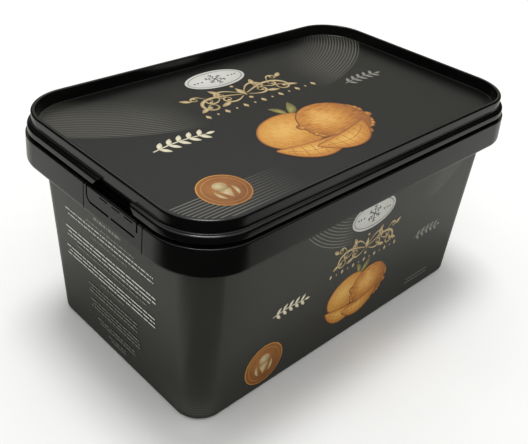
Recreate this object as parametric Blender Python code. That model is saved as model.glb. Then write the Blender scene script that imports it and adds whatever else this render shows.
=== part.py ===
"""A shut one litre ice cream tub: a solid tub body with its two tear tabs, and the pressed-on lid.

Units are metres, +Z is up, and the origin is the middle of the base. The long sides run along X.
"""

import math

import bmesh
import bpy

MM = 0.001

# Plan of the lid's lip, which every other outline is inset from.
LID_LENGTH = 166.0 * MM
LID_WIDTH = 104.2 * MM
LID_CORNER = 20.0 * MM

# Heights above the base.
WALL_TOP = 66.9 * MM
COLLAR_BOTTOM = 68.2 * MM
COLLAR_TOP = 78.0 * MM
LIP_BOTTOM = 78.9 * MM
BAND_TOP = 81.4 * MM
GROOVE_FOOT = 81.75 * MM
PANEL_TOP = 81.4 * MM
RIM_TOP = 85.9 * MM

# Insets from the lip, negative where the surface stands proud of it.
COLLAR_TOP_INSET = -0.6 * MM
COLLAR_BOTTOM_INSET = -1.2 * MM
WALL_TOP_INSET = 5.9 * MM
WALL_BASE_INSET = 8.1 * MM
BAND_TOP_INSET = 0.15 * MM
UPPER_BAND_INSET = 1.7 * MM
RIM_INNER_INSET = 3.2 * MM
PANEL_INSET = 3.6 * MM
SEAT_INSET = 3.0 * MM

# Corner radii of the wall in plan.
WALL_TOP_CORNER = 11.3 * MM
WALL_BASE_CORNER = 10.1 * MM

# Rounded edges of the section.
BASE_EDGE = 1.5 * MM
SHOULDER_EDGE = 1.4 * MM
COLLAR_EDGE = 0.4 * MM
LIP_EDGE = 0.45 * MM
BAND_EDGE = 0.5 * MM
GROOVE_EDGE = 0.6 * MM
RIM_OUTER_EDGE = 0.7 * MM
RIM_INNER_EDGE = 0.35 * MM
PANEL_EDGE = 0.7 * MM
SEAT_EDGE = 0.15 * MM

# Standing ring round the shallow recess under the base.
STANDING_RING_WIDTH = 6.0 * MM
BASE_RECESS = 0.6 * MM

# Tear tab cut into the collar of a short side, off its middle, with its places given along Y.
TAB_ENDS = (-25.9 * MM, -0.4 * MM)
TAB_BOTTOM = 73.1 * MM
TAB_THICKNESS = 0.9 * MM
TAB_SLOT = 0.75 * MM
TAB_CORNER = 2.2 * MM
TAB_SMALL_CORNER = 0.4 * MM
POCKET_DEPTH = 2.5 * MM
BRIDGE_TOP = 74.7 * MM
BRIDGE_THICKNESS = 0.75 * MM
MIDDLE_BRIDGE_ENDS = (-13.2 * MM, -12.1 * MM)
CORNER_BRIDGE_ENDS = (-27.0 * MM, -25.3 * MM)
PERFORATION_PLACES = (-9.2 * MM, -15.6 * MM, -22.0 * MM)
PERFORATION_LENGTH = 4.2 * MM
PERFORATION_HEIGHT = 0.5 * MM
PERFORATION_DROP = 0.8 * MM

# Fine slits down the collar on both sides of the tab.
SLIT_PLACES = (-28.9 * MM, 1.75 * MM)
SLIT_WIDTH = 0.45 * MM
SLIT_DEPTH = 1.2 * MM

# Notch in the lid's lower band above each tab.
NOTCH_ENDS = (-24.3 * MM, -2.0 * MM)
NOTCH_SLOPE_LENGTH = 3.5 * MM
NOTCH_DEPTH = 2.6 * MM
NOTCH_TOP = 82.1 * MM

# How far the collar's face goes in, towards the tub, for each metre of rise.
COLLAR_LEAN = (COLLAR_TOP_INSET - COLLAR_BOTTOM_INSET) / (COLLAR_TOP - COLLAR_BOTTOM)

TOUCHING_GAP = 0.3 * MM
CORNER_STEPS = 12
EDGE_STEPS = 4
TAB_STEPS = 6
CUT_OVERRUN = 1.0 * MM


def clear_scene():
    for old in list(bpy.data.objects):
        bpy.data.objects.remove(old, do_unlink=True)


def plastic(name, colour, roughness):
    material = bpy.data.materials.new(name)
    material.use_nodes = True
    shader = material.node_tree.nodes["Principled BSDF"]
    shader.inputs["Base Color"].default_value = (*colour, 1.0)
    shader.inputs["Roughness"].default_value = roughness
    shader.inputs["Metallic"].default_value = 0.0
    return material


def rounded_section(corners):
    """Round each (inset, height, radius) corner of a section, and give its (inset, height) points."""
    points = [corners[0][:2]]
    for before, corner, after in zip(corners, corners[1:], corners[2:]):
        here = complex(*corner[:2])
        to_before = complex(*before[:2]) - here
        to_after = complex(*after[:2]) - here
        to_before /= abs(to_before)
        to_after /= abs(to_after)
        half_angle = math.acos((to_before * to_after.conjugate()).real) / 2.0
        bisector = (to_before + to_after) / abs(to_before + to_after)
        radius = corner[2]
        centre = here + bisector * radius / math.sin(half_angle)
        start = here + to_before * radius / math.tan(half_angle) - centre
        end = here + to_after * radius / math.tan(half_angle) - centre
        turn = math.atan2((start.conjugate() * end).imag, (start.conjugate() * end).real)
        for step in range(EDGE_STEPS + 1):
            angle = turn * step / EDGE_STEPS
            point = centre + start * complex(math.cos(angle), math.sin(angle))
            points.append((point.real, point.imag))
    points.append(corners[-1][:2])
    return points


def outline_ring(bm, inset, height, corner):
    """Add one rounded rectangle of vertices, inset from the lip's plan."""
    half_length = LID_LENGTH / 2.0 - inset - corner
    half_width = LID_WIDTH / 2.0 - inset - corner
    ring = []
    for quarter, (side_x, side_y) in enumerate(((1, 1), (-1, 1), (-1, -1), (1, -1))):
        for step in range(CORNER_STEPS + 1):
            angle = math.radians(90.0 * (quarter + step / CORNER_STEPS))
            x = side_x * half_length + corner * math.cos(angle)
            y = side_y * half_width + corner * math.sin(angle)
            ring.append(bm.verts.new((x, y, height)))
    return ring


def lofted_body(name, rings, material):
    """Skin a closed body through rings given as (inset, height, corner), lowest first."""
    bm = bmesh.new()
    loops = [outline_ring(bm, *ring) for ring in rings]
    bm.faces.new(reversed(loops[0]))
    for lower, upper in zip(loops, loops[1:]):
        for index in range(len(lower)):
            following = (index + 1) % len(lower)
            bm.faces.new((lower[index], lower[following], upper[following], upper[index]))
    bm.faces.new(loops[-1])
    bmesh.ops.recalc_face_normals(bm, faces=bm.faces)
    mesh = bpy.data.meshes.new(name)
    bm.to_mesh(mesh)
    bm.free()
    mesh.materials.append(material)
    body = bpy.data.objects.new(name, mesh)
    bpy.context.scene.collection.objects.link(body)
    return body


def prism(name, outline, x_range, lean=0.0):
    """Stand a prism on the (y, z) outline between two places along X, leaning with the collar."""
    bm = bmesh.new()
    face = bm.faces.new([bm.verts.new((x_range[0], y, z)) for y, z in outline])
    grown = bmesh.ops.extrude_face_region(bm, geom=[face])
    moved = [item for item in grown["geom"] if isinstance(item, bmesh.types.BMVert)]
    bmesh.ops.translate(bm, verts=moved, vec=(x_range[1] - x_range[0], 0.0, 0.0))
    for vert in bm.verts:
        vert.co.x += lean * (vert.co.z - COLLAR_TOP)
    bmesh.ops.recalc_face_normals(bm, faces=bm.faces)
    mesh = bpy.data.meshes.new(name)
    bm.to_mesh(mesh)
    bm.free()
    solid = bpy.data.objects.new(name, mesh)
    bpy.context.scene.collection.objects.link(solid)
    return solid


def box_outline(y_range, z_range):
    return [(y_range[side_y], z_range[side_z]) for side_y, side_z in ((0, 0), (1, 0), (1, 1), (0, 1))]


def span(centre, length):
    return (centre - length / 2.0, centre + length / 2.0)


def tab_outline(margin, top):
    """Outline of the tear tab in (y, z), grown by a margin: one large lower corner and one small."""
    low_y, high_y = TAB_ENDS[0] - margin, TAB_ENDS[1] + margin
    bottom = TAB_BOTTOM - margin
    small, large = TAB_SMALL_CORNER + margin, TAB_CORNER + margin
    outline = []
    for centre_y, radius, start in ((low_y + small, small, 180.0), (high_y - large, large, 270.0)):
        for step in range(TAB_STEPS + 1):
            angle = math.radians(start + 90.0 * step / TAB_STEPS)
            outline.append((centre_y + radius * math.cos(angle), bottom + radius + radius * math.sin(angle)))
    return outline + [(high_y, top), (low_y, top)]


def combine(target, tool, operation):
    """Apply one exact Boolean to the target and remove the tool."""
    modifier = target.modifiers.new(operation.lower(), "BOOLEAN")
    modifier.operation = operation
    modifier.solver = "EXACT"
    modifier.object = tool
    depsgraph = bpy.context.evaluated_depsgraph_get()
    result = bpy.data.meshes.new_from_object(target.evaluated_get(depsgraph))
    target.modifiers.clear()
    old = target.data
    target.data = result
    bpy.data.meshes.remove(old)
    bpy.data.objects.remove(tool, do_unlink=True)


def at_both_ends(target, operation, make_tool):
    """Use a tool at the -X end, and again turned half round at the +X end."""
    for turn in (0.0, math.pi):
        tool = make_tool()
        tool.rotation_euler.z = turn
        bpy.context.view_layer.update()
        combine(target, tool, operation)


def face_x(inset):
    """Place along X of a surface with this inset on the -X side."""
    return inset - LID_LENGTH / 2.0


def make_tub(material):
    foot_inner = WALL_BASE_INSET + BASE_EDGE + STANDING_RING_WIDTH
    wall_corners = [
        (foot_inner, 0.0, 0.0),
        (WALL_BASE_INSET, 0.0, BASE_EDGE),
        (WALL_TOP_INSET, WALL_TOP, SHOULDER_EDGE),
        (COLLAR_BOTTOM_INSET, COLLAR_BOTTOM, SHOULDER_EDGE),
        (COLLAR_TOP_INSET, COLLAR_TOP, COLLAR_EDGE),
        (SEAT_INSET, COLLAR_TOP, 0.0),
    ]
    rings = [(foot_inner, BASE_RECESS, WALL_BASE_CORNER)]
    for inset, height in rounded_section(wall_corners):
        rings.append((inset, height, plan_corner(inset, height)))
    tub = lofted_body("tub", rings, material)
    at_both_ends(tub, "DIFFERENCE", tab_slot)
    collar_heights = (COLLAR_BOTTOM - SHOULDER_EDGE, COLLAR_TOP + CUT_OVERRUN)
    slit_x = (face_x(COLLAR_TOP_INSET - CUT_OVERRUN), face_x(COLLAR_TOP_INSET + SLIT_DEPTH))
    for place in SLIT_PLACES:
        slit = box_outline(span(place, SLIT_WIDTH), collar_heights)
        at_both_ends(tub, "DIFFERENCE", lambda: prism("slit", slit, slit_x, COLLAR_LEAN))
    behind_tab = COLLAR_TOP_INSET + TAB_THICKNESS + CUT_OVERRUN
    slot_x = (face_x(COLLAR_TOP_INSET - CUT_OVERRUN), face_x(behind_tab))
    for place in PERFORATION_PLACES:
        level = COLLAR_TOP - PERFORATION_DROP
        slot = box_outline(span(place, PERFORATION_LENGTH), (level - PERFORATION_HEIGHT, level))
        at_both_ends(tub, "DIFFERENCE", lambda: prism("perforation", slot, slot_x))
    return tub


def plan_corner(inset, height):
    """Corner radius in plan: the wall has its own, and the collar follows the lip."""
    if height > WALL_TOP:
        blend = min(1.0, (WALL_TOP_INSET - inset) / (WALL_TOP_INSET - COLLAR_BOTTOM_INSET))
        return WALL_TOP_CORNER + (LID_CORNER - COLLAR_BOTTOM_INSET - WALL_TOP_CORNER) * max(0.0, blend)
    return WALL_BASE_CORNER + (WALL_TOP_CORNER - WALL_BASE_CORNER) * height / WALL_TOP


def tab_slot():
    """What is cut away round and behind the tear tab, less the bridges that hold it to the collar."""
    outside = face_x(COLLAR_TOP_INSET - CUT_OVERRUN)
    tab_back = face_x(COLLAR_TOP_INSET + TAB_THICKNESS)
    pocket_back = face_x(COLLAR_TOP_INSET + POCKET_DEPTH)
    above = COLLAR_TOP + CUT_OVERRUN
    slot = prism("tab_slot", tab_outline(TAB_SLOT, above), (outside, pocket_back), COLLAR_LEAN)
    tab_x = (outside - CUT_OVERRUN, tab_back)
    combine(slot, prism("tab", tab_outline(0.0, above + CUT_OVERRUN), tab_x, COLLAR_LEAN), "DIFFERENCE")
    bridge_x = (outside - CUT_OVERRUN, face_x(COLLAR_TOP_INSET + BRIDGE_THICKNESS))
    for ends in (MIDDLE_BRIDGE_ENDS, CORNER_BRIDGE_ENDS):
        bridge = box_outline(ends, (TAB_BOTTOM - 2.0 * TAB_SLOT, BRIDGE_TOP))
        combine(slot, prism("bridge", bridge, bridge_x, COLLAR_LEAN), "DIFFERENCE")
    return slot


def make_lid(material):
    section = [
        (SEAT_INSET, COLLAR_TOP + TOUCHING_GAP, 0.0),
        (SEAT_INSET, LIP_BOTTOM, SEAT_EDGE),
        (0.0, LIP_BOTTOM, LIP_EDGE),
        (BAND_TOP_INSET, BAND_TOP, BAND_EDGE),
        (UPPER_BAND_INSET, GROOVE_FOOT, GROOVE_EDGE),
        (UPPER_BAND_INSET, RIM_TOP, RIM_OUTER_EDGE),
        (RIM_INNER_INSET, RIM_TOP, RIM_INNER_EDGE),
        (PANEL_INSET, PANEL_TOP, PANEL_EDGE),
        (PANEL_INSET + 2.0 * PANEL_EDGE, PANEL_TOP, 0.0),
    ]
    rings = [(inset, height, LID_CORNER - inset) for inset, height in rounded_section(section)]
    lid = lofted_body("lid", rings, material)
    low, high = NOTCH_ENDS
    notch = [
        (low, COLLAR_TOP),
        (high, COLLAR_TOP),
        (high, LIP_BOTTOM),
        (high - NOTCH_SLOPE_LENGTH, NOTCH_TOP),
        (low + NOTCH_SLOPE_LENGTH, NOTCH_TOP),
        (low, LIP_BOTTOM),
    ]
    notch_x = (face_x(-CUT_OVERRUN), face_x(NOTCH_DEPTH))
    at_both_ends(lid, "DIFFERENCE", lambda: prism("notch", notch, notch_x))
    return lid


def main():
    clear_scene()
    make_tub(plastic("tub_plastic", (0.045, 0.043, 0.038), 0.38))
    make_lid(plastic("lid_plastic", (0.012, 0.012, 0.011), 0.25))
    for body in bpy.data.objects:
        body.data.shade_smooth()
        body.data.set_sharp_from_angle(angle=math.radians(35.0))


main()
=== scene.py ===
import math

import bmesh
import bpy
from mathutils import Matrix, Vector


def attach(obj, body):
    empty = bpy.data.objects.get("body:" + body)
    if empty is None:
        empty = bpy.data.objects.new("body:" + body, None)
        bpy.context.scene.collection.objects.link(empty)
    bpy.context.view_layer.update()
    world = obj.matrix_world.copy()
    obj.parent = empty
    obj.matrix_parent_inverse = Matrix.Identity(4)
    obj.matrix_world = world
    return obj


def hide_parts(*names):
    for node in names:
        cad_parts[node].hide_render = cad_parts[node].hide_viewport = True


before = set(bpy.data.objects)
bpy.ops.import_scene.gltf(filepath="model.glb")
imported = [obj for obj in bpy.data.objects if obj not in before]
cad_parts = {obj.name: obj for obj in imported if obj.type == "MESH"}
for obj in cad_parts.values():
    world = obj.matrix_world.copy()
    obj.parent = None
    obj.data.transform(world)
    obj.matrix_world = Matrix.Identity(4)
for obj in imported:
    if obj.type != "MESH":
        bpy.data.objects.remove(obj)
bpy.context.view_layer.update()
mm = 0.001


def linear(hexColour):  # sRGB hex to the linear numbers that shaders take
    shares = [int(hexColour[place:place + 2], 16) / 255 for place in (1, 3, 5)]
    return tuple(s / 12.92 if s <= 0.04045 else ((s + 0.055) / 1.055) ** 2.4 for s in shares) + (1.0,)


def addNode(tree, kind, inputs=None, **settings):  # inputs takes plain values and sockets alike
    node = tree.nodes.new("ShaderNode" + kind)
    for name, value in settings.items():
        setattr(node, name, value)
    for key, value in (inputs or {}).items():
        if isinstance(value, bpy.types.NodeSocket):
            tree.links.new(value, node.inputs[key])
        else:
            node.inputs[key].default_value = value
    return node


def startMaterial(name, roughness, ior, specular=0.5):
    material = bpy.data.materials.new(name)
    material.use_nodes = True
    shader = material.node_tree.nodes["Principled BSDF"]
    shader.inputs["Roughness"].default_value = roughness
    shader.inputs["IOR"].default_value = ior
    shader.inputs["Specular IOR Level"].default_value = specular
    return material, material.node_tree, shader


def millimetres(tree):  # where a point is on the piece, in millimetres
    place = addNode(tree, "TexCoord").outputs["Object"]
    return addNode(tree, "VectorMath", {0: place, "Scale": 1 / mm}, operation="SCALE").outputs[0]


def fineRelief(tree, shader, place, grain, depth):  # low bumps with this grain, both in millimetres
    noise = addNode(tree, "TexNoise", {"Vector": place, "Scale": 1.0 / grain, "Detail": 2.0})
    bump = addNode(tree, "Bump", {"Height": noise.outputs[0], "Strength": 1.0, "Distance": depth * mm})
    tree.links.new(bump.outputs[0], shader.inputs["Normal"])


noiseEnds = (0.3, 0.7)  # most of what a noise texture gives lies between these

# Black polypropylene from a spark-eroded mould: a fine matt grain that spreads each highlight.
# The grain is drawn coarser than the real one, which is too fine to show.
erodedPlastic = {
    "name": "erodedPolypropylene", "colours": ("#090909", "#0e0e0d"), "roughness": (0.17, 0.23),
    "cloudScale": 0.12, "cloudDetail": 4.0, "grain": 0.35, "depth": 0.004,
}

# Black polypropylene from a polished mould: mirror-like on its small round edges, nearly black elsewhere.
polishedPlastic = {
    "name": "polishedPolypropylene", "colours": ("#080808", "#0c0c0b"), "roughness": (0.14, 0.21),
    "cloudScale": 0.08, "cloudDetail": 3.0, "grain": 0.9, "depth": 0.0025,
}


def polypropylene(finish):  # faint clouds, about 10 mm across, change its colour and gloss a little
    smoothest, roughest = finish["roughness"]
    material, tree, shader = startMaterial(finish["name"], roughness=smoothest, ior=1.49)
    place = millimetres(tree)
    noise = {"Vector": place, "Scale": finish["cloudScale"], "Detail": finish["cloudDetail"]}
    cloud = addNode(tree, "TexNoise", noise).outputs[0]
    dark, light = (linear(colour) for colour in finish["colours"])
    colour = addNode(tree, "Mix", {"Factor": cloud, "A": dark, "B": light}, data_type="RGBA")
    tree.links.new(colour.outputs["Result"], shader.inputs["Base Color"])
    low, high = noiseEnds
    gloss = addNode(tree, "MapRange", {0: cloud, 1: low, 2: high, 3: smoothest, 4: roughest})
    tree.links.new(gloss.outputs[0], shader.inputs["Roughness"])
    fineRelief(tree, shader, place, finish["grain"], finish["depth"])
    return material


# Printed film that is moulded into the plastic: a dark ground with the dots of the press and fine pale lines
# in it, under a satin skin. It is warm dark grey on the walls, and nearly black and glossier on the lid.
wallFilm = {"name": "wallLabelFilm", "roughness": 0.34, "ground": ("#2b2b28", "#32322e"), "dots": "#3c3c37"}
lidFilm = {"name": "lidLabelFilm", "roughness": 0.28, "ground": ("#080807", "#0b0b0a"), "dots": "#1e1e1c"}

filmSizes = {  # in millimetres. The dots are larger than real ones, which are too fine to show
    "cloud": 20.0, "dots": 0.25, "dotEnds": (0.35, 0.65), "dotStrength": 0.16,
    "grain": 0.5, "depth": 0.003, "lineInk": "#98968a",
}


def labelFilm(film, drawLines):
    f = filmSizes
    material, tree, shader = startMaterial(film["name"], film["roughness"], ior=1.5, specular=0.42)
    place = millimetres(tree)
    cloud = addNode(tree, "TexNoise", {"Vector": place, "Scale": 1 / f["cloud"], "Detail": 3.0}).outputs[0]
    dark, light = (linear(ink) for ink in film["ground"])
    shades = {"Factor": cloud, "A": dark, "B": light}
    ground = addNode(tree, "Mix", shades, data_type="RGBA").outputs["Result"]
    noise = addNode(tree, "TexNoise", {"Vector": place, "Scale": 1 / f["dots"], "Detail": 1.0}).outputs[0]
    low, high = f["dotEnds"]
    dots = addNode(tree, "MapRange", {0: noise, 1: low, 2: high, 3: 0.0, 4: f["dotStrength"]}).outputs[0]
    shades = {"Factor": dots, "A": ground, "B": linear(film["dots"])}
    dotted = addNode(tree, "Mix", shades, data_type="RGBA").outputs["Result"]
    shades = {"Factor": drawLines(tree, place), "A": dotted, "B": linear(f["lineInk"])}
    lined = addNode(tree, "Mix", shades, data_type="RGBA").outputs["Result"]
    tree.links.new(lined, shader.inputs["Base Color"])
    fineRelief(tree, shader, place, f["grain"], f["depth"])
    return material


softEdge = (0.4, 1.6)  # a line is full up to the first share of its half width, and gone at the second


def fadedLines(tree, across, pitch, width, strength, fades):
    # Fine lines at this pitch, kept where all the fades are full. A fade is (value, empty at, full at)
    turns = addNode(tree, "Math", {0: across, 1: pitch}, operation="DIVIDE").outputs[0]
    part = addNode(tree, "Math", {0: turns}, operation="FRACT").outputs[0]
    off = addNode(tree, "Math", {0: part, 1: 0.5}, operation="SUBTRACT").outputs[0]
    near = addNode(tree, "Math", {0: off}, operation="ABSOLUTE").outputs[0]
    full, gone = (share * width / pitch / 2 for share in softEdge)
    lines = addNode(tree, "MapRange", {0: near, 1: full, 2: gone, 3: strength, 4: 0.0}).outputs[0]
    for value, empty, filled in fades:
        share = addNode(tree, "MapRange", {0: value, 1: empty, 2: filled, 3: 0.0, 4: 1.0}).outputs[0]
        lines = addNode(tree, "Math", {0: lines, 1: share}, operation="MULTIPLY").outputs[0]
    return lines


# The lines of both films are drawn as wide and as far apart as the render needs to show them.
lidLineSizes = {
    "pitch": 1.3, "width": 0.34, "strength": 0.5,
    "fanMiddle": -2.0, "fanCentre": (16.0, 95.0, 0.0), "fanRadii": (62.0, 91.5), "fanFade": 16.0,
    "fanEdge": 0.3, "fanEnds": (28.0, 44.0), "rowsTop": -30.0, "rowsEdge": 0.2, "rowEnds": (-32.0, -60.0),
}


def lidLines(tree, place):
    # Two mirrored fans beside the emblem, and rows behind the medallion
    n = lidLineSizes
    split = addNode(tree, "SeparateXYZ", {0: place})
    x, y = split.outputs[0], split.outputs[1]
    side = addNode(tree, "Math", {0: x, 1: n["fanMiddle"]}, operation="SUBTRACT").outputs[0]
    u = addNode(tree, "Math", {0: side}, operation="ABSOLUTE").outputs[0]
    mirrored = addNode(tree, "CombineXYZ", {0: u, 1: y}).outputs[0]
    spoke = addNode(tree, "VectorMath", {0: mirrored, 1: n["fanCentre"]}, operation="DISTANCE")
    reach = spoke.outputs["Value"]
    inner, outer = n["fanRadii"]
    fades = [(reach, inner, inner + n["fanFade"]), (reach, outer + n["fanEdge"], outer), (u, *n["fanEnds"])]
    fans = fadedLines(tree, reach, n["pitch"], n["width"], n["strength"], fades)
    fades = [(y, n["rowsTop"] + n["rowsEdge"], n["rowsTop"]), (x, *n["rowEnds"])]
    rows = fadedLines(tree, y, n["pitch"], n["width"], n["strength"], fades)
    return addNode(tree, "Math", {0: fans, 1: rows}, operation="MAXIMUM").outputs[0]


wallLineSizes = {
    "pitch": 1.25, "width": 0.3, "edge": 0.3, "longSides": (40.0, 42.0),
    "arches": (
        {"centre": (-2.0, 86.0, 0.0), "radii": (24.0, 39.0), "fade": 4.0, "ends": (-5.0, -12.0), "ink": 0.5},
        {"centre": (30.0, 88.0, 0.0), "radii": (30.0, 40.0), "fade": 2.0, "ends": (36.0, 44.0), "ink": 0.3},
    ),
    "rowHeights": (2.5, 12.0), "rowFade": 7.0, "rowEnds": (-62.0, -70.0), "rowSides": (24.0, 34.0),
    "rowStrength": 0.2,
}


def wallLines(tree, place):
    # Arcs high on each long side, and rows low round one corner of it. Half a turn about Z gives the same
    w = wallLineSizes
    split = addNode(tree, "SeparateXYZ", {0: place})
    x, y, z = split.outputs[0], split.outputs[1], split.outputs[2]
    side = addNode(tree, "Math", {0: y}, operation="SIGN").outputs[0]
    turned = addNode(tree, "Math", {0: x, 1: side}, operation="MULTIPLY").outputs[0]
    u = addNode(tree, "Math", {0: turned, 1: -1.0}, operation="MULTIPLY").outputs[0]
    flat = addNode(tree, "CombineXYZ", {0: u, 1: z}).outputs[0]
    away = addNode(tree, "Math", {0: y}, operation="ABSOLUTE").outputs[0]
    low, high = w["rowHeights"]
    fades = [
        (z, high, high - w["rowFade"]), (z, low, low + w["edge"]), (u, *w["rowEnds"]),
        (away, *w["rowSides"]),
    ]
    drawn = fadedLines(tree, z, w["pitch"], w["width"], w["rowStrength"], fades)
    for arch in w["arches"]:
        spoke = addNode(tree, "VectorMath", {0: flat, 1: arch["centre"]}, operation="DISTANCE")
        reach = spoke.outputs["Value"]
        inner, outer = arch["radii"]
        fades = [
            (reach, inner, inner + arch["fade"]), (reach, outer + w["edge"], outer), (u, *arch["ends"]),
            (away, *w["longSides"]),
        ]
        lines = fadedLines(tree, reach, w["pitch"], w["width"], arch["ink"], fades)
        drawn = addNode(tree, "Math", {0: drawn, 1: lines}, operation="MAXIMUM").outputs[0]
    return drawn


# Offset inks under the satin film, with their colours from the bright spot of a shape to its rim. Streaks
# are how fine the grain is along and across a shape, and contrast is how far it shifts the colours.
inkColours = {
    "gold": {"colours": ("#c1af86", "#ad976b", "#917a50")},
    "cream": {"colours": ("#ddd7be", "#cfc8ad", "#bbb396")},
    "grey": {"colours": ("#8a897f", "#7d7c73", "#706f67")},
    "paleGrey": {"colours": ("#dbdad3", "#cfcec6", "#c1c0b7")},
    "white": {"colours": ("#cdcdc7", "#c7c7c0", "#bcbcb4")},
    "slate": {"colours": ("#4a4a46", "#42423e", "#3a3a36")},
    "amber": {"colours": ("#9e6628", "#8f581f", "#784717")},
    "sorbet": {
        "colours": ("#d8a757", "#c4852f", "#ab691f", "#814a18"),
        "streaks": (2.0, 26.0, 1.0), "contrast": 0.26,
    },
    "fruitFlesh": {"colours": ("#d8a854", "#c88d36", "#b07122"), "streaks": (9.0, 3.0, 1.0)},
    "fruitSkin": {"colours": ("#bb782c", "#a46324", "#884d1a")},
    "leaf": {"colours": ("#8f8a4a", "#77703a", "#5c5529")},
    "shadow": {"colours": ("#8a5320", "#74441a", "#5d3614")},
}
inkNames = list(inkColours)

inkLook = {
    "brightSpot": (0.42, 0.6, 0.0), "shadeEnds": (0.05, 0.6), "grainScale": 3.0,
    "dotScale": 3.5, "darkestDot": 0.88,  # dots for each millimetre, coarse enough to show
}


def printInk(name, colours, streaks=(1.0, 1.0, 1.0), contrast=0.13):
    k = inkLook
    low, high = noiseEnds
    material, tree, shader = startMaterial(name, roughness=0.4, ior=1.5)
    art = addNode(tree, "UVMap", uv_map="art").outputs[0]
    reach = addNode(tree, "VectorMath", {0: art, 1: k["brightSpot"]}, operation="DISTANCE").outputs["Value"]
    strokes = addNode(tree, "Mapping", {"Vector": art, "Scale": streaks}).outputs[0]
    noise = {"Vector": strokes, "Scale": k["grainScale"], "Detail": 4.0, "Roughness": 0.6}
    grain = addNode(tree, "TexNoise", noise).outputs[0]
    nudge = addNode(tree, "MapRange", {0: grain, 1: low, 2: high, 3: -contrast, 4: contrast}).outputs[0]
    shade = addNode(tree, "Math", {0: reach, 1: nudge}, operation="ADD").outputs[0]
    bright, rim = k["shadeEnds"]
    share = addNode(tree, "MapRange", {0: shade, 1: bright, 2: rim, 3: 0.0, 4: 1.0}).outputs[0]
    ramp = addNode(tree, "ValToRGB", {0: share})
    stops = ramp.color_ramp.elements
    stops[0].color = linear(colours[0])
    stops[1].color = linear(colours[-1])
    for index, colour in enumerate(colours[1:-1], 1):
        stops.new(index / (len(colours) - 1)).color = linear(colour)
    noise = {"Vector": millimetres(tree), "Scale": k["dotScale"], "Detail": 1.0}
    dots = addNode(tree, "TexNoise", noise).outputs[0]
    spread = addNode(tree, "MapRange", {0: dots, 1: low, 2: high, 3: k["darkestDot"], 4: 1.0}).outputs[0]
    inked = addNode(tree, "VectorMath", {0: ramp.outputs[0], "Scale": spread}, operation="SCALE").outputs[0]
    tree.links.new(inked, shader.inputs["Base Color"])
    return material


def makeInks():
    return [printInk(name + "InkUnderFilm", **look) for name, look in inkColours.items()]


def meshObject(name, bm, materials):
    mesh = bpy.data.meshes.new(name)
    bm.to_mesh(mesh)
    bm.free()
    for material in materials:
        mesh.materials.append(material)
    made = bpy.data.objects.new(name, mesh)
    bpy.context.scene.collection.objects.link(made)
    return made


sectionSizes = {"longFlat": 2.0, "flatEnd": 0.4}  # a longer flat than that gets points so near its ends


def roundSection(corners, steps):
    # Rounds each (inset, height, radius) corner, and keeps the long flats flat
    points = [corners[0][:2]]
    for before, corner, after in zip(corners, corners[1:], corners[2:]):
        here = Vector(corner[:2])
        toBefore = (Vector(before[:2]) - here).normalized()
        toAfter = (Vector(after[:2]) - here).normalized()
        halfAngle = toBefore.angle(toAfter) / 2
        centre = here + (toBefore + toAfter).normalized() * corner[2] / math.sin(halfAngle)
        start = here + toBefore * corner[2] / math.tan(halfAngle) - centre
        turn = start.angle_signed(here + toAfter * corner[2] / math.tan(halfAngle) - centre)
        first = centre + start
        last = Vector(points[-1])
        flat = (first - last).length
        if flat > sectionSizes["longFlat"] * mm:
            near = sectionSizes["flatEnd"] * mm / flat
            points += [tuple(last.lerp(first, share)) for share in (near, 1 - near)]
        for step in range(steps + 1):
            spoke = start.copy()
            spoke.rotate(Matrix.Rotation(-turn * step / steps, 2))
            points.append(tuple(centre + spoke))
    return points + [corners[-1][:2]]


tubSizes = {  # in millimetres. Insets are from the outline of the lid's lip
    "length": 166.0, "width": 104.2, "corner": 20.0,
    "wallTop": 66.9, "wallTopInset": 5.9, "wallTopCorner": 11.3,
    "wallBaseInset": 8.1, "wallBaseCorner": 10.1, "baseEdge": 1.5,
    "collarBottom": 68.2, "collarBottomInset": -1.2, "collarTop": 78.0, "collarTopInset": -0.6,
    "shoulderEdge": 1.4, "collarEdge": 0.4, "seatInset": 3.0,
    "standingRing": 6.0, "baseRecess": 0.6, "cornerSteps": 24, "edgeSteps": 6,
    "labelFoot": 1.0, "labelOver": 0.4, "levelNormal": 0.97, "sharpAngle": 35.0,
}


def cornerCentre(spot, inset, corner):
    # Middle of the rounded corner that this point of a ring belongs to
    s = tubSizes
    return Vector((math.copysign(s["length"] * mm / 2 - inset - corner, spot.x),
                   math.copysign(s["width"] * mm / 2 - inset - corner, spot.y)))


def skinRings(rings):
    # Extrudes a rounded rectangle through rings given as (inset, height, corner), and closes both ends
    quarter = tubSizes["cornerSteps"]
    halfStep = math.pi / 4 / quarter
    inset, height, corner = rings[0]
    bm = bmesh.new()
    foot = Matrix.Translation((0, 0, height)) @ Matrix.Rotation(halfStep, 4, "Z")
    radius = corner / math.cos(halfStep)
    verts = bmesh.ops.create_circle(bm, segments=4 * quarter, radius=radius, matrix=foot)["verts"]
    for vert in verts:
        vert.co.xy += cornerCentre(vert.co, inset, corner)
    loop = bm.edges[:]
    bmesh.ops.contextual_create(bm, geom=loop)
    for (oldInset, _, oldCorner), (inset, height, corner) in zip(rings, rings[1:]):
        grown = bmesh.ops.extrude_edge_only(bm, edges=loop)["geom"]
        verts = {item for item in grown if isinstance(item, bmesh.types.BMVert)}
        for vert in verts:
            spoke = vert.co.xy - cornerCentre(vert.co, oldInset, oldCorner)
            vert.co.xy = cornerCentre(vert.co, inset, corner) + spoke * corner / oldCorner
            vert.co.z = height
        edges = [item for item in grown if isinstance(item, bmesh.types.BMEdge)]
        loop = [edge for edge in edges if verts.issuperset(edge.verts)]
    bmesh.ops.contextual_create(bm, geom=loop)
    bmesh.ops.recalc_face_normals(bm, faces=bm.faces[:])
    return bm


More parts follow.
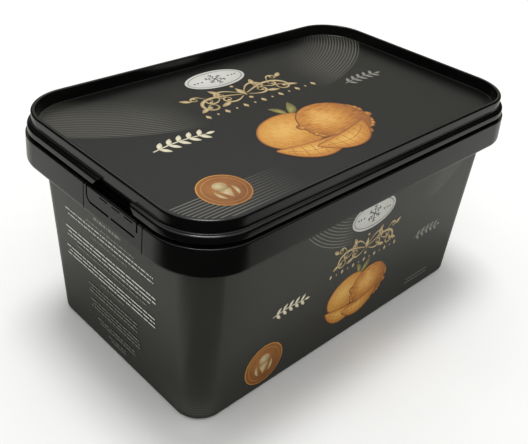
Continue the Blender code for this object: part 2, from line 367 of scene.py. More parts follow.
def cutAway(target, tool):
    # One Boolean, applied, and its tool removed
    modifier = target.modifiers.new("cut", "BOOLEAN")
    modifier.operation = "DIFFERENCE"
    modifier.solver = "MANIFOLD"
    modifier.object = tool
    result = bpy.data.meshes.new_from_object(target.evaluated_get(bpy.context.evaluated_depsgraph_get()))
    target.modifiers.clear()
    target.data = result
    bpy.data.objects.remove(tool, do_unlink=True)


def cutBothEnds(target, makeTool):
    for turn in (0.0, math.pi):
        tool = makeTool()
        tool.data.transform(Matrix.Rotation(turn, 4, "Z"))
        cutAway(target, tool)


def finishShading(piece):
    piece.data.shade_smooth()
    piece.data.set_sharp_from_angle(angle=math.radians(tubSizes["sharpAngle"]))


tabSizes = {
    "ends": (-25.9, -0.4), "bottom": 73.1, "thickness": 0.9, "slot": 0.75, "corners": (0.4, 2.2),
    "pocket": 2.5, "bridgeTop": 74.7, "bridgeThickness": 0.75, "bridges": ((-13.2, -12.1), (-27.0, -25.3)),
    "perforations": (-9.2, -15.6, -22.0), "perforationSize": (4.2, 0.5), "perforationDrop": 0.8,
    "slits": (-28.9, 1.75), "slitWidth": 0.45, "slitDepth": 1.2, "footSteps": 10,
    "overrun": 1.0,  # how far a tool reaches past what it cuts
}


def leaning(bm):
    # Leans a tool with the collar's face
    s = tubSizes
    lean = (s["collarTopInset"] - s["collarBottomInset"]) / (s["collarTop"] - s["collarBottom"])
    for vert in bm.verts:
        vert.co.x += lean * (vert.co.z - s["collarTop"] * mm)
    return bm


def endBox(insets, ys, zs):
    # Box at the -X end between two insets from the lip, in millimetres
    half = tubSizes["length"] / 2
    low = Vector((insets[0] - half, ys[0], zs[0])) * mm
    high = Vector((insets[1] - half, ys[1], zs[1])) * mm
    place = Matrix.Translation((low + high) / 2) @ Matrix.Diagonal((*(high - low), 1.0))
    bm = bmesh.new()
    bmesh.ops.create_cube(bm, size=1.0)
    bmesh.ops.transform(bm, matrix=place, verts=bm.verts[:])
    return bm


def roundFoot(bm, radii):
    # Rounds the two lower edges that run along X
    near = 0.001 * mm
    foot = min(vert.co.z for vert in bm.verts)
    low = [edge for edge in bm.edges if all(abs(vert.co.z - foot) < near for vert in edge.verts)]
    edges = [edge for edge in low if abs(edge.verts[0].co.x - edge.verts[1].co.x) > 10 * near]
    edges.sort(key=lambda edge: edge.verts[0].co.y)
    for edge, radius in zip(edges, radii):
        bmesh.ops.bevel(bm, geom=[edge], offset=radius * mm, segments=tabSizes["footSteps"], profile=0.5,
                        affect="EDGES", material=-1)
    return bm


def tabSlot():
    # The slot round a tear tab and the pocket behind it, less the tab and the bridges that hold it
    t, top, face = tabSizes, tubSizes["collarTop"], tubSizes["collarTopInset"]
    gap, over = t["slot"], t["overrun"]
    low, high = t["ends"]
    small, large = t["corners"]
    insets = (face - over, face + t["pocket"])
    slot = endBox(insets, (low - gap, high + gap), (t["bottom"] - gap, top + over))
    slot = meshObject("slot", leaning(roundFoot(slot, (small + gap, large + gap))), [])
    tab = endBox((face - 2 * over, face + t["thickness"]), (low, high), (t["bottom"], top + 2 * over))
    cutAway(slot, meshObject("tab", leaning(roundFoot(tab, (small, large))), []))
    for ends in t["bridges"]:
        insets = (face - 2 * over, face + t["bridgeThickness"])
        bridge = endBox(insets, ends, (t["bottom"] - 2 * gap, t["bridgeTop"]))
        cutAway(slot, meshObject("bridge", leaning(bridge), []))
    return slot


def collarSlit(place):
    t, s = tabSizes, tubSizes
    half = t["slitWidth"] / 2
    insets = (s["collarTopInset"] - t["overrun"], s["collarTopInset"] + t["slitDepth"])
    heights = (s["collarBottom"] - s["shoulderEdge"], s["collarTop"] + t["overrun"])
    return meshObject("slit", leaning(endBox(insets, (place - half, place + half), heights)), [])


def perforation(place):
    t, s = tabSizes, tubSizes
    length, height = t["perforationSize"]
    level = s["collarTop"] - t["perforationDrop"]
    insets = (s["collarTopInset"] - t["overrun"], s["collarTopInset"] + t["thickness"] + t["overrun"])
    hole = endBox(insets, (place - length / 2, place + length / 2), (level - height, level))
    return meshObject("perforation", hole, [])


def collarCorner(inset, height):
    # The wall has its own corner radius in plan, and the collar follows the lip
    s = tubSizes
    if height > s["wallTop"] * mm:
        share = (s["wallTopInset"] - inset / mm) / (s["wallTopInset"] - s["collarBottomInset"])
        share = min(1.0, max(0.0, share))
        growth = s["corner"] - s["collarBottomInset"] - s["wallTopCorner"]
        return (s["wallTopCorner"] + growth * share) * mm
    growth = s["wallTopCorner"] - s["wallBaseCorner"]
    return (s["wallBaseCorner"] + growth * height / mm / s["wallTop"]) * mm


def makeTub(plastic, label):
    s = tubSizes
    footInner = s["wallBaseInset"] + s["baseEdge"] + s["standingRing"]
    corners = [
        (footInner, 0.0, 0.0),
        (s["wallBaseInset"], 0.0, s["baseEdge"]),
        (s["wallTopInset"], s["wallTop"], s["shoulderEdge"]),
        (s["collarBottomInset"], s["collarBottom"], s["shoulderEdge"]),
        (s["collarTopInset"], s["collarTop"], s["collarEdge"]),
        (s["seatInset"], s["collarTop"], 0.0),
    ]
    corners = [tuple(value * mm for value in corner) for corner in corners]
    section = roundSection(corners, s["edgeSteps"])
    rings = [(footInner * mm, s["baseRecess"] * mm, s["wallBaseCorner"] * mm)]
    rings += [(inset, height, collarCorner(inset, height)) for inset, height in section]
    tub = meshObject("tubBody", skinRings(rings), [plastic, label])
    cutBothEnds(tub, tabSlot)
    for place in tabSizes["slits"]:
        cutBothEnds(tub, lambda: collarSlit(place))
    for place in tabSizes["perforations"]:
        cutBothEnds(tub, lambda: perforation(place))
    labelTop = s["wallTop"] + s["labelOver"]
    for face in tub.data.polygons:
        onWall = s["labelFoot"] * mm < face.center.z < labelTop * mm
        face.material_index = int(onWall and abs(face.normal.z) < s["levelNormal"])
    finishShading(tub)
    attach(tub, "root")
    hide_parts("tub")


lidSizes = {
    "seatInset": 3.0, "underside": 78.3, "lipBottom": 78.9, "bandTop": 81.4, "bandTopInset": 0.15,
    "grooveFoot": 81.75, "upperBandInset": 1.7, "rimTop": 85.9, "rimInnerInset": 3.2,
    "panelInset": 3.6, "panelTop": 81.4,
    "seatEdge": 0.15, "lipEdge": 0.45, "bandEdge": 0.85, "grooveEdge": 0.6, "rimOuterEdge": 0.7,
    "rimInnerEdge": 0.35, "panelEdge": 0.2,
    "notchEnds": (-24.3, -2.0), "notchSlope": 3.5, "notchDepth": 2.6, "notchTop": 82.1, "notchDrop": 0.9,
    "panelNormal": 0.9, "panelSpread": 0.1,  # how level and how near the panel's height a labelled face is
}


def notchTool():
    # The lip's notch over the tear tab, with sloping ends
    n = lidSizes
    low, high = n["notchEnds"]
    spread = n["notchSlope"] * n["notchDrop"] / (n["notchTop"] - n["lipBottom"])
    heights = (n["lipBottom"] - n["notchDrop"], n["notchTop"])
    tool = endBox((-tabSizes["overrun"], n["notchDepth"]), (low - spread, high + spread), heights)
    for vert in tool.verts:
        if vert.co.z > n["lipBottom"] * mm:
            middle = (low + high) / 2 * mm
            vert.co.y += math.copysign(n["notchSlope"] + spread, middle - vert.co.y) * mm
    return meshObject("notch", tool, [])


def makeLid(plastic, label):
    n = lidSizes
    corners = [
        (n["seatInset"], n["underside"], 0.0),
        (n["seatInset"], n["lipBottom"], n["seatEdge"]),
        (0.0, n["lipBottom"], n["lipEdge"]),
        (n["bandTopInset"], n["bandTop"], n["bandEdge"]),
        (n["upperBandInset"], n["grooveFoot"], n["grooveEdge"]),
        (n["upperBandInset"], n["rimTop"], n["rimOuterEdge"]),
        (n["rimInnerInset"], n["rimTop"], n["rimInnerEdge"]),
        (n["panelInset"], n["panelTop"], n["panelEdge"]),
        (n["panelInset"] + 2 * n["panelEdge"], n["panelTop"], 0.0),
    ]
    corners = [tuple(value * mm for value in corner) for corner in corners]
    section = roundSection(corners, tubSizes["edgeSteps"])
    rings = [(inset, height, tubSizes["corner"] * mm - inset) for inset, height in section]
    lid = meshObject("lidShell", skinRings(rings), [plastic, label])
    cutBothEnds(lid, notchTool)
    panelEnd = tubSizes["length"] / 2 - n["panelInset"]
    for face in lid.data.polygons:
        nearPanel = abs(face.center.z - n["panelTop"] * mm) < n["panelSpread"] * mm
        level = face.normal.z > n["panelNormal"]
        face.material_index = int(nearPanel and level and abs(face.center.x) < panelEnd * mm)
    finishShading(lid)
    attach(lid, "root")
    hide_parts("lid")


# The print is drawn flat, in millimetres, and laid on a face of the tub. Each shape lies a step above those
# drawn before it, so that no two share a plane.
printSizes = {"lowest": 0.03, "step": 0.001, "thickness": 0.02}
dotSteps, discSteps, emblemSteps = 20, 64, 72  # corners of small, large and the largest round shapes


def nextHeight(bm):
    return max((vert.co.z + printSizes["step"] for vert in bm.verts), default=printSizes["lowest"])


def inkFaces(bm, verts, ink, localise):
    # Gives the new faces their ink, and each corner its place in the shape, from 0 to 1 both ways
    uv = bm.loops.layers.uv.verify()
    for face in {face for vert in verts for face in vert.link_faces}:
        face.material_index = inkNames.index(ink)
        for loop in face.loops:
            loop[uv].uv = localise(loop.vert)


def oval(bm, ink, centre, size, turn=0.0, segments=discSteps):
    place = Matrix.Translation((*centre, nextHeight(bm))) @ Matrix.Rotation(math.radians(turn), 4, "Z")
    place = place @ Matrix.Diagonal((size[0], size[1], 1.0, 1.0))
    verts = bmesh.ops.create_circle(bm, cap_ends=True, segments=segments, radius=0.5, matrix=place)["verts"]
    back = place.inverted()
    inkFaces(bm, verts, ink, lambda vert: (back @ vert.co).xy + Vector((0.5, 0.5)))


def ribbon(bm, ink, path, width, steps):
    # A strip along a path, with its width given along it
    height = nextHeight(bm)
    verts = bmesh.ops.create_grid(bm, x_segments=steps, y_segments=1, size=0.5)["verts"]
    spots = {vert: (vert.co.x + 0.5, 1.0 if vert.co.y > 0 else -1.0) for vert in verts}
    step = 1e-3
    for vert, (along, side) in spots.items():
        here = Vector(path(along))
        ahead = Vector(path(min(1.0, along + step))) - Vector(path(max(0.0, along - step)))
        across = Vector((-ahead.y, ahead.x)).normalized()
        spot = here + across * side * width(along) / 2
        vert.co = (spot.x, spot.y, height)
    inkFaces(bm, verts, ink, lambda vert: (spots[vert][0], 0.5 + spots[vert][1] / 2))


def heading(degrees):
    return Vector((math.cos(math.radians(degrees)), math.sin(math.radians(degrees))))


def bar(bm, ink, centre, length, height, turn=0.0):
    reach = heading(turn) * length / 2
    middle = Vector(centre)
    ribbon(bm, ink, lambda t: middle + reach * (2 * t - 1), lambda t: height, 1)


leafShape = {"tip": 0.03, "fullness": 0.8, "steps": 12}


def leaf(bm, ink, root, length, width, turn, bend=0.0):
    def path(t):
        angle = math.radians(turn + bend * t)
        return (root[0] + length * t * math.cos(angle), root[1] + length * t * math.sin(angle))

    def wide(t):
        return width * max(leafShape["tip"], math.sin(math.pi * t) ** leafShape["fullness"])
    ribbon(bm, ink, path, wide, leafShape["steps"])


curlShape = {"steps": 48, "thinnest": 0.5, "swellEnd": 1.1, "drop": 1.35}


def curl(bm, ink, root, length, start, turn, power, width):
    # A scroll stroke whose heading turns faster towards its end, where a round drop closes it
    pieces = curlShape["steps"]
    points = [Vector(root)]
    for index in range(pieces):
        angle = start + turn * ((index + 0.5) / pieces) ** power
        points.append(points[-1] + heading(angle) * length / pieces)

    def path(t):
        whole = min(pieces - 1, int(t * pieces))
        return points[whole].lerp(points[whole + 1], t * pieces - whole)

    def swell(t):  # thin at the root, full near the middle and thin again at the drop
        full = math.sin(math.pi * min(1.0, t * curlShape["swellEnd"])) ** 2
        return width * (curlShape["thinnest"] + (1 - curlShape["thinnest"]) * full)
    ribbon(bm, ink, path, swell, pieces)
    drop = width * curlShape["drop"]
    oval(bm, ink, points[-1], (drop, drop), segments=dotSteps)


def lozenge(bm, ink, centre, size):
    oval(bm, ink, centre, size, segments=4)


emblem = {
    "ovals": (("white", (28.0, 14.7)), ("slate", (25.8, 12.5)), ("white", (25.2, 11.9))),
    "arms": 6, "firstArm": 30.0, "armMiddle": 2.2, "armSize": (4.2, 0.45), "armTip": 4.3,
    "branchesAt": (0.45, 0.75), "branchLean": 55.0, "branchMiddle": 0.6, "branchSize": (1.3, 0.35),
    "dotsAt": (6.6, 8.6, 10.2), "dot": 0.9, "dotSteps": 16,
}


def emblemMotif(bm):
    # Pale oval, a fine ring and a snowflake with dots beside it
    e = emblem
    for ink, size in e["ovals"]:
        oval(bm, ink, (0, 0), size, segments=emblemSteps)
    for arm in range(e["arms"]):
        turn = e["firstArm"] + 360.0 / e["arms"] * arm
        tip = heading(turn)
        bar(bm, "slate", tip * e["armMiddle"], *e["armSize"], turn)
        for share in e["branchesAt"]:
            for lean in (turn - e["branchLean"], turn + e["branchLean"]):
                middle = tip * e["armTip"] * share + heading(lean) * e["branchMiddle"]
                bar(bm, "slate", middle, *e["branchSize"], lean)
    for side in (-1, 1):
        for place in e["dotsAt"]:
            oval(bm, "slate", (side * place, 0), (e["dot"], e["dot"]), segments=e["dotSteps"])


flourish = {
    "strokes": (  # root, length, heading, turn, how late it turns, width
        ((1.4, -1.2), 37.0, 21.0, -480.0, 3.0, 1.5),
        ((1.6, 0.8), 21.0, 46.0, -430.0, 2.3, 1.1),
        ((1.4, -2.4), 18.0, -30.0, 410.0, 2.4, 1.1),
        ((10.5, 1.0), 15.0, -48.0, 420.0, 2.1, 0.9),
        ((16.0, 3.2), 12.0, 62.0, -400.0, 2.0, 0.9),
    ),
    "leaves": (  # root, length, width, heading
        ((8.4, 3.0), 5.5, 2.3, 64.0), ((9.0, -3.9), 6.0, 2.2, -18.0),
        ((19.5, -3.4), 5.5, 2.0, -28.0), ((21.5, 3.6), 5.0, 2.2, 36.0),
    ),
    "lozenge": ((0.0, 0.6), (3.2, 7.6)), "dots": (((0.0, -5.2), 1.9), ((0.0, 6.2), 1.6)),
}


def flourishMotif(bm):
    # Scrollwork of two equal halves about a lozenge
    for side in (-1, 1):
        def mirrored(angle):
            return angle if side > 0 else 180.0 - angle
        for root, length, start, turn, power, width in flourish["strokes"]:
            curl(bm, "gold", (side * root[0], root[1]), length, mirrored(start), side * turn, power, width)
        for root, length, width, turn in flourish["leaves"]:
            leaf(bm, "gold", (side * root[0], root[1]), length, width, mirrored(turn))
    lozenge(bm, "gold", *flourish["lozenge"])
    for centre, size in flourish["dots"]:
        oval(bm, "gold", centre, (size, size), segments=dotSteps)


beads = {"count": 13, "first": -27.0, "pitch": 4.5, "sizes": ((2.1, 3.4), (1.1, 1.5))}


def beadMotif(bm):
    # Row of large and small lozenges by turns
    for index in range(beads["count"]):
        lozenge(bm, "gold", (beads["first"] + beads["pitch"] * index, 0), beads["sizes"][index % 2])


sprig = {
    "start": -12.0, "length": 22.0, "sway": 1.2, "waves": 3.0, "stem": 0.6, "pairs": 5, "firstPair": -9.5,
    "pitch": 4.2, "leaf": (4.6, 1.9), "lean": 50.0, "tip": (3.8, 1.6), "steps": 20,
}


def sprigMotif(ink):
    # Swaying stem with pairs of leaves and one at its tip
    g = sprig

    def stem(x):
        return (x, g["sway"] * math.sin(g["waves"] * (x - g["start"]) / g["length"]))

    def draw(bm):
        ribbon(bm, ink, lambda t: stem(g["start"] + g["length"] * t), lambda t: g["stem"], g["steps"])
        for index in range(g["pairs"]):
            root = stem(g["firstPair"] + g["pitch"] * index)
            leaf(bm, ink, root, *g["leaf"], g["lean"])
            leaf(bm, ink, root, *g["leaf"], -g["lean"])
        leaf(bm, ink, stem(g["start"] + g["length"]), *g["tip"], 0.0)
    return draw


medallion = {
    "discs": (("fruitFlesh", 17.5), ("amber", 16.7), ("fruitFlesh", 14.2), ("amber", 13.8)),
    "coneTop": 0.2, "coneDepth": 5.0, "coneWidths": (4.7, 0.3), "lip": ((0.0, 0.6), (5.2, 0.9)),
    "scoop": ((0.0, 2.2), (5.0, 4.6)), "scoopSteps": 32,
    "leafRoot": (2.2, -4.6), "leafSize": (5.6, 1.4), "leafLean": 38.0, "leafBend": 26.0,
}


def medallionMotif(bm):
    # Amber disc in a thin yellow ring, with a cone, a scoop and two leaves on it
    m = medallion
    for ink, size in m["discs"]:
        oval(bm, ink, (0, 0), (size, size))
    wide, narrow = m["coneWidths"]

    def down(t):
        return (0, m["coneTop"] - m["coneDepth"] * t)
    ribbon(bm, "gold", down, lambda t: wide + (narrow - wide) * t, 1)
    for ink, (centre, size) in (("amber", m["lip"]), ("gold", m["scoop"])):
        oval(bm, ink, centre, size, segments=m["scoopSteps"])
    for side in (-1, 1):
        root = (side * m["leafRoot"][0], m["leafRoot"][1])
        leaf(bm, "gold", root, *m["leafSize"], 90.0 - side * m["leafLean"], side * m["leafBend"])


fruitPicture = {
    # Leaves have a root, length, width, heading and bend, and wedges all of them but the bend
    "leaves": (((-1.0, 14.5), 10.5, 3.8, 28.0, 25.0), ((-2.0, 15.0), 8.0, 3.2, 84.0, 30.0)),
    "fruit": ((-9.5, 5.0), (31.0, 23.0), 16.0), "skin": 1.3,
    "scoop": ((9.5, 2.5), (29.0, 27.0)), "scoopEdges": (("shadow", 0.5), ("sorbet", -0.3)),
    "crumbs": 34, "crumbsFrom": 150.0, "crumbsTurn": 235.0, "crumbSizes": (2.4, 5.4), "crumbSteps": 9,
    "crumbReach": 0.46, "crumbStray": 0.03, "crumbFlat": 0.8, "crumbTurn": 53.0,
    "wedges": (((-25.0, -3.0), 29.0, 9.5, -8.0), ((-11.0, -8.5), 29.0, 9.5, 9.0)),
    "wedgeSag": 0.55, "wedgeTip": 0.04, "wedgeFullness": 0.75, "wedgeSteps": 28,
    "wedgeEdges": (("fruitSkin", 0.7), ("fruitFlesh", -0.5)),
    "scores": 6, "scoresFrom": 0.18, "scoresOver": 0.64, "scoreMargin": 0.9, "scoreLean": 0.6,
    "scoreWidth": 0.28, "longScore": (0.12, 0.76), "longScoreSteps": 20,
}


def scoopMotif(bm, centre, size):
    # Ball of sorbet with a ragged foot, where the scoop pressed it out
    p = fruitPicture
    small, large = p["crumbSizes"]
    golden, waver = 0.618, 4.7  # spread the crumbs' sizes and places, so that none repeats
    for ink, more in p["scoopEdges"]:
        for index in range(p["crumbs"]):
            angle = math.radians(p["crumbsFrom"] + p["crumbsTurn"] * index / (p["crumbs"] - 1))
            reach = p["crumbReach"] + p["crumbStray"] * math.sin(waver * index)
            spot = Vector(centre) + Vector((math.cos(angle) * size[0], math.sin(angle) * size[1])) * reach
            crumb = small + (large - small) * (golden * index % 1.0)
            sides = (crumb + more, crumb * p["crumbFlat"] + more)
            oval(bm, ink, spot, sides, p["crumbTurn"] * index, p["crumbSteps"])
        oval(bm, ink, centre, (size[0] + more, size[1] + more))


def wedgeMotif(bm, root, length, width, turn):
    # Slice of the fruit with its skin below, scored across and once along
    p = fruitPicture
    ahead, up = heading(turn), heading(turn + 90.0)

    def arc(t):
        return Vector(root) + ahead * length * t - up * width * p["wedgeSag"] * math.sin(math.pi * t)

    def wide(t):
        return width * max(p["wedgeTip"], math.sin(math.pi * t) ** p["wedgeFullness"])

    def fine(t):
        return p["scoreWidth"]
    for ink, more in p["wedgeEdges"]:
        ribbon(bm, ink, arc, lambda t: wide(t) + more, p["wedgeSteps"])
    for index in range(p["scores"]):
        place = p["scoresFrom"] + p["scoresOver"] * index / (p["scores"] - 1)
        middle = arc(place)
        reach = up * (wide(place) / 2 - p["scoreMargin"]) + ahead * p["scoreLean"]
        ribbon(bm, "fruitSkin", lambda t: middle + reach * (2 * t - 1), fine, 1)
    start, over = p["longScore"]
    ribbon(bm, "fruitSkin", lambda t: arc(start + over * t), fine, p["longScoreSteps"])


def pictureMotif(bm):
    # A ripe fruit and a scoop of sorbet, two wedges before them, and two leaves
    p = fruitPicture
    for leafSizes in p["leaves"]:
        leaf(bm, "leaf", *leafSizes)
    centre, size, turn = p["fruit"]
    oval(bm, "fruitSkin", centre, size, turn)
    oval(bm, "fruitFlesh", centre, (size[0] - p["skin"], size[1] - p["skin"]), turn)
    scoopMotif(bm, *p["scoop"])
    for wedge in p["wedges"]:
        wedgeMotif(bm, *wedge)


sideRows = {
    # From the top: first row's height, rows, distance between rows, left end, right end, ink, a dash's
    # height, and the share of the lengths below that its dashes have
    "groups": (
        (58.3, 1, 0.0, -8.8, 6.8, "grey", 1.3, 0.35),
        (55.2, 1, 0.0, -14.0, 14.0, "grey", 0.6, 0.35),
        (53.2, 2, 1.9, -27.5, 24.0, "paleGrey", 0.5, 0.4),
        (49.2, 1, 0.0, -11.0, 10.0, "grey", 0.6, 0.35),
        (45.1, 2, 1.8, -28.5, 24.8, "paleGrey", 0.6, 1.0),
        (41.5, 1, 0.0, -28.0, 22.0, "paleGrey", 0.45, 0.5),
        (39.4, 1, 0.0, -22.0, 20.0, "grey", 0.55, 0.5),
        (36.0, 3, 1.75, -29.3, 24.0, "paleGrey", 0.55, 0.9),
        (30.2, 1, 0.0, -8.0, 6.5, "grey", 0.55, 0.35),
        (26.2, 3, 1.75, -16.5, 13.5, "grey", 0.55, 0.6),
        (18.8, 3, 1.6, -16.0, 14.5, "grey", 0.5, 0.6),
        (11.2, 2, 1.5, -12.5, 11.0, "grey", 0.5, 0.6),
        (6.6, 2, 1.4, -6.0, 5.0, "grey", 0.45, 0.6),
    ),
    "dashes": (4.6, 2.2, 6.4, 3.8, 1.6, 5.2, 3.0, 7.4, 2.6), "space": 0.4, "stagger": 1.5,
}


def rowsMotif(bm):
    # Rows of dashes, as long and as high as the small print on such a tub
    dashes, count = sideRows["dashes"], 0
    for top, rows, pitch, left, right, ink, size, share in sideRows["groups"]:
        for row in range(rows):
            along = left + sideRows["stagger"] * (row % 2)
            while along < right:
                length = min(right - along, dashes[count % len(dashes)] * share)
                bar(bm, ink, (along + length / 2, top - pitch * row), length, size)
                along += length + sideRows["space"]
                count += 1


tinyRows = {"heights": (-1.0, 1.0), "count": 7, "first": -6.6, "pitch": 2.2, "dash": (1.7, 0.45)}


def tinyRowsMotif(bm):
    # Two rows of very small dashes at the foot of a long side
    for height in tinyRows["heights"]:
        for index in range(tinyRows["count"]):
            bar(bm, "grey", (tinyRows["first"] + tinyRows["pitch"] * index, height), *tinyRows["dash"])


def addMotif(sheet, draw, centre, scale):
    motif = bmesh.new()
    motif.loops.layers.uv.new("art")
    draw(motif)
    bmesh.ops.recalc_face_normals(motif, faces=motif.faces[:])
    for face in motif.faces:
        if face.normal.z < 0:
            face.normal_flip()
    bmesh.ops.solidify(motif, geom=motif.faces[:], thickness=printSizes["thickness"])
    place = Matrix.Translation((*centre, 0.0)) @ Matrix.Diagonal((scale, scale, 1.0, 1.0))
    bmesh.ops.transform(motif, matrix=place, verts=motif.verts[:])
    passing = bpy.data.meshes.new("motif")
    motif.to_mesh(passing)
    motif.free()
    sheet.from_mesh(passing)
    bpy.data.meshes.remove(passing)


def layPrint(name, layout, place, inks):
    # Draws a face's motifs on one flat sheet, in millimetres, and turns it on to that face of the tub
    sheet = bmesh.new()
    for draw, centre, scale in layout:
        addMotif(sheet, draw, centre, scale)
    bmesh.ops.transform(sheet, matrix=place @ Matrix.Scale(mm, 4), verts=sheet.verts[:])
    bmesh.ops.recalc_face_normals(sheet, faces=sheet.faces[:])
    used = sorted({face.material_index for face in sheet.faces})
    for face in sheet.faces:
        face.material_index = used.index(face.material_index)
    piece = meshObject(name, sheet, [inks[index] for index in used])
    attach(piece, "root")


def wallPlace(acrossSize, turn):
    # Matrix from a flat sheet to a leaning wall: x along it, y up it, z out of it
    s = tubSizes
    half = s[acrossSize] / 2
    foot = Vector((0, -(half - s["wallBaseInset"]), 0)) * mm
    head = Vector((0, -(half - s["wallTopInset"]), s["wallTop"])) * mm
    up = (head - foot).normalized()
    along = Vector((1, 0, 0))
    leaningAxes = Matrix((along, up, along.cross(up))).transposed().to_4x4()
    return Matrix.Rotation(math.radians(turn), 4, "Z") @ Matrix.Translation(foot) @ leaningAxes


layouts = {  # each motif with its place on the face, in millimetres, and its scale
    "lid": (
        (emblemMotif, (-4.0, 34.0), 1.0),
        (flourishMotif, (-3.5, 18.5), 1.0),
        (beadMotif, (-1.0, 9.0), 1.0),
        (sprigMotif("cream"), (-47.0, -0.5), 1.0),
        (sprigMotif("grey"), (47.5, 1.5), 0.85),
        (medallionMotif, (-55.6, -31.3), 1.0),
        (pictureMotif, (-1.0, -20.5), 1.0),
    ),
    "longSide": (
        (emblemMotif, (4.0, 57.0), 0.86),
        (flourishMotif, (3.5, 43.4), 0.74),
        (beadMotif, (3.5, 36.4), 0.68),
        (sprigMotif("cream"), (-34.8, 33.0), 0.7),
        (sprigMotif("grey"), (44.5, 32.0), 0.7),
        (medallionMotif, (-44.6, 12.2), 1.03),
        (pictureMotif, (3.5, 20.0), 0.7),
        (tinyRowsMotif, (46.0, 7.5), 1.0),
    ),
    "shortSide": ((rowsMotif, (0.0, 0.0), 1.0),),
}


def makePrint(inks):
    panel = Matrix.Translation((0, 0, lidSizes["panelTop"] * mm))
    layPrint("lidPrint", layouts["lid"], panel, inks)
    for name, turn in (("frontPrint", 0), ("backPrint", 180)):
        layPrint(name, layouts["longSide"], wallPlace("width", turn), inks)
    for name, turn in (("leftPrint", -90), ("rightPrint", 90)):
        layPrint(name, layouts["shortSide"], wallPlace("length", turn), inks)


def makePieces():
    makeTub(polypropylene(erodedPlastic), labelFilm(wallFilm, wallLines))
    print("tub body done")
    makeLid(polypropylene(polishedPlastic), labelFilm(lidFilm, lidLines))
    print("lid done")
    makePrint(makeInks())
    print("print done")


studio = {  # in metres, apart from the paper's clouds in millimetres
    "paper": ("#ececeb", "#f1f1f0"), "paperCloud": 50.0, "floorSize": 6.0,
    "worldColour": "#f4f4f3", "worldStrength": 0.9,
    "topBox": {"towards": (0.06, 0.1, 1.0), "distance": 1.6, "size": (0.5, 0.4), "watts": 12.0},
    "aimHeight": 0.04,
    "darkHeading": 229.0,  # where the near corner looks, in degrees from +X
    "flagDistance": 0.8, "flagSteps": 48,
}

# Felt on the floor, in metres, seen only in reflections. The grey cloth is the floor's even grey. The others
# are painted shade, standing for the floor's shadow round the foot and before the near corner. A cloth with
# a start reaches from there along the dark heading, and fades to the painted shade colour over so many
# millimetres. Each has a height of its own, and the higher cover the lower.
levelCloths = {
    "greyCloth": {"size": (2.4, 2.4), "height": 0.0003, "colour": "#bcbcb8"},
    # painted shade: away from the tub, the reflected floor before the near corner darkens to near black
    "paintedNearFloorShade": {"size": (1.2, 2.4), "height": 0.0015, "colour": "#bcbcb8", "start": 0.078, "fade": 50.0},
    # painted shade: a short darkening of the reflected floor at the near corner's foot
    "paintedCornerFootShade": {
        "size": (0.054, 0.1), "height": 0.0018, "colour": "#bcbcb8", "start": 0.078, "fade": 16.0,
    },
    # painted shadow: a darker grey ring of reflected floor round the tub's foot
    "paintedFootShadow": {"size": (0.215, 0.155), "height": 0.0009, "colour": "#aeaeaa"},
    # painted shadow: a still darker ring close round the foot
    "paintedInnerFootShadow": {"size": (0.186, 0.124), "height": 0.0012, "colour": "#8e8e8b"},
}
# painted shade: the near-black colour that the shaded cloths fade to
paintedShadeColour = "#050505"

flags = {  # the heading where each starts and how far it turns, in degrees, and its height
    "darkFlag": {"first": 85.0, "turn": 287.0, "height": 0.9, "colour": "#080808"},
    "greyFlag": {"first": 12.0, "turn": 73.0, "height": 0.54, "colour": "#8b8a82"},
}


def softBox(name, towards, distance, size, watts):
    light = bpy.data.lights.new(name, "AREA")
    light.shape = "RECTANGLE"
    light.size, light.size_y = size
    light.energy = watts
    lamp = bpy.data.objects.new(name, light)
    bpy.context.scene.collection.objects.link(lamp)
    lamp.location = Vector(towards).normalized() * distance + Vector((0, 0, studio["aimHeight"]))
    lamp.rotation_euler = Vector(towards).to_track_quat("Z", "Y").to_euler()


def floorPaper():
    # Matt pale paper, so faintly clouded that it reads as even
    material, tree, shader = startMaterial("paleStudioPaper", roughness=0.9, ior=1.45, specular=0.2)
    noise = {"Vector": millimetres(tree), "Scale": 1 / studio["paperCloud"], "Detail": 2.0}
    cloud = addNode(tree, "TexNoise", noise).outputs[0]
    dark, light = (linear(colour) for colour in studio["paper"])
    colour = addNode(tree, "Mix", {"Factor": cloud, "A": dark, "B": light}, data_type="RGBA")
    tree.links.new(colour.outputs["Result"], shader.inputs["Base Color"])
    return material


def felt(name, colour, fade=None):
    # Felt has no sheen of its own. A fade is (direction, start, end) in millimetres, to the painted shade
    # colour
    material, tree, shader = startMaterial(name + "Felt", roughness=0.95, ior=1.45, specular=0.05)
    shader.inputs["Base Color"].default_value = linear(colour)
    if fade:
        direction, start, end = fade
        along = addNode(tree, "VectorMath", {0: millimetres(tree), 1: direction}, operation="DOT_PRODUCT")
        share = addNode(tree, "MapRange", {0: along.outputs["Value"], 1: start, 2: end}).outputs[0]
        shades = {"Factor": share, "A": linear(colour), "B": linear(paintedShadeColour)}
        shaded = addNode(tree, "Mix", shades, data_type="RGBA").outputs["Result"]
        tree.links.new(shaded, shader.inputs["Base Color"])
    return material


def onlyInReflections(piece):
    # Cloths and flags show in shiny surfaces alone, and neither shade nor tint the paper
    piece.visible_camera = False
    piece.visible_diffuse = False
    piece.visible_shadow = False


def levelCloth(name, size, height, colour, start=None, fade=None):
    length, width = size
    place = Matrix.Translation((0, 0, height))
    blend = None
    # a cloth with a fade darkens along the dark heading to the painted shade colour
    if fade:
        turn = Matrix.Rotation(math.radians(studio["darkHeading"]), 4, "Z")
        place = turn @ Matrix.Translation((start + length / 2, 0, height))
        blend = ((*heading(studio["darkHeading"]), 0.0), start / mm, start / mm + fade)
    bm = bmesh.new()
    bmesh.ops.create_grid(bm, x_segments=1, y_segments=1, size=0.5)
    bmesh.ops.transform(bm, matrix=place @ Matrix.Diagonal((length, width, 1, 1)), verts=bm.verts[:])
    onlyInReflections(meshObject(name, bm, [felt(name, colour, blend)]))


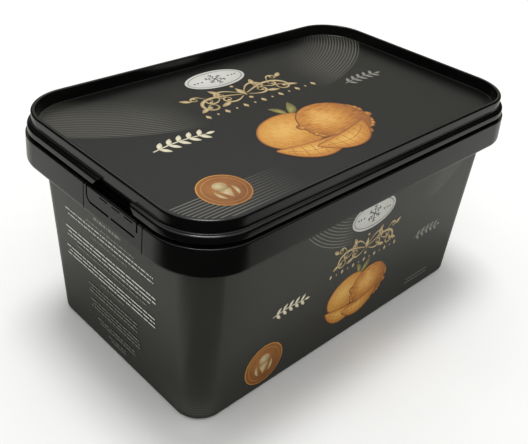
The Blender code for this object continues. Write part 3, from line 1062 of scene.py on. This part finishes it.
def uprightFlag(name, first, turn, height, colour):
    # Felt that stands in part of a circle about the tub, from one heading on
    bm = bmesh.new()
    corners = bmesh.ops.create_grid(bm, x_segments=1, y_segments=1, size=0.5)["verts"]
    bmesh.ops.delete(bm, geom=[vert for vert in corners if vert.co.x > 0], context="VERTS")
    for vert in bm.verts:
        vert.co = (studio["flagDistance"], 0, height * (vert.co.y + 0.5))
    bmesh.ops.rotate(bm, verts=bm.verts[:], matrix=Matrix.Rotation(math.radians(first), 3, "Z"))
    bmesh.ops.spin(bm, geom=bm.edges[:] + bm.verts[:], axis=(0, 0, 1), steps=studio["flagSteps"],
                   angle=math.radians(turn))
    onlyInReflections(meshObject(name, bm, [felt(name, colour)]))


def makeStudio():
    bm = bmesh.new()
    bmesh.ops.create_grid(bm, x_segments=1, y_segments=1, size=studio["floorSize"] / 2)
    meshObject("floor", bm, [floorPaper()])
    world = bpy.data.worlds.new("softRoom")
    world.use_nodes = True
    background = world.node_tree.nodes["Background"]
    background.inputs["Color"].default_value = linear(studio["worldColour"])
    background.inputs["Strength"].default_value = studio["worldStrength"]
    bpy.context.scene.world = world
    softBox("topSoftBox", **studio["topBox"])
    for name, cloth in levelCloths.items():
        levelCloth(name, **cloth)
    for name, flag in flags.items():
        uprightFlag(name, **flag)
    bpy.context.scene.view_settings.view_transform = "Standard"


cameraSizes = {
    "place": (-0.17908, -0.16708, 0.19380), "heading": 46.26, "down": 33.83, "roll": 5.10,
    "lens": 48.963, "sensor": 36.0, "nearest": 0.001,
}


def makeCamera():
    c = cameraSizes
    turn, down, roll = (math.radians(c[key]) for key in ("heading", "down", "roll"))
    right = Vector((math.cos(turn), -math.sin(turn), 0))
    ahead = Vector((math.sin(turn) * math.cos(down), math.cos(turn) * math.cos(down), -math.sin(down)))
    up = right.cross(ahead)
    rolledRight = right * math.cos(roll) + up * math.sin(roll)
    rolledUp = up * math.cos(roll) - right * math.sin(roll)
    data = bpy.data.cameras.new("camera")
    data.lens = c["lens"]
    data.sensor_width = c["sensor"]
    data.clip_start = c["nearest"]
    camera = bpy.data.objects.new("camera", data)
    bpy.context.scene.collection.objects.link(camera)
    turned = Matrix((rolledRight, rolledUp, -ahead)).transposed().to_4x4()
    camera.matrix_world = Matrix.Translation(c["place"]) @ turned
    bpy.context.scene.camera = camera


makePieces()
makeStudio()
makeCamera()
print("studio and camera done")
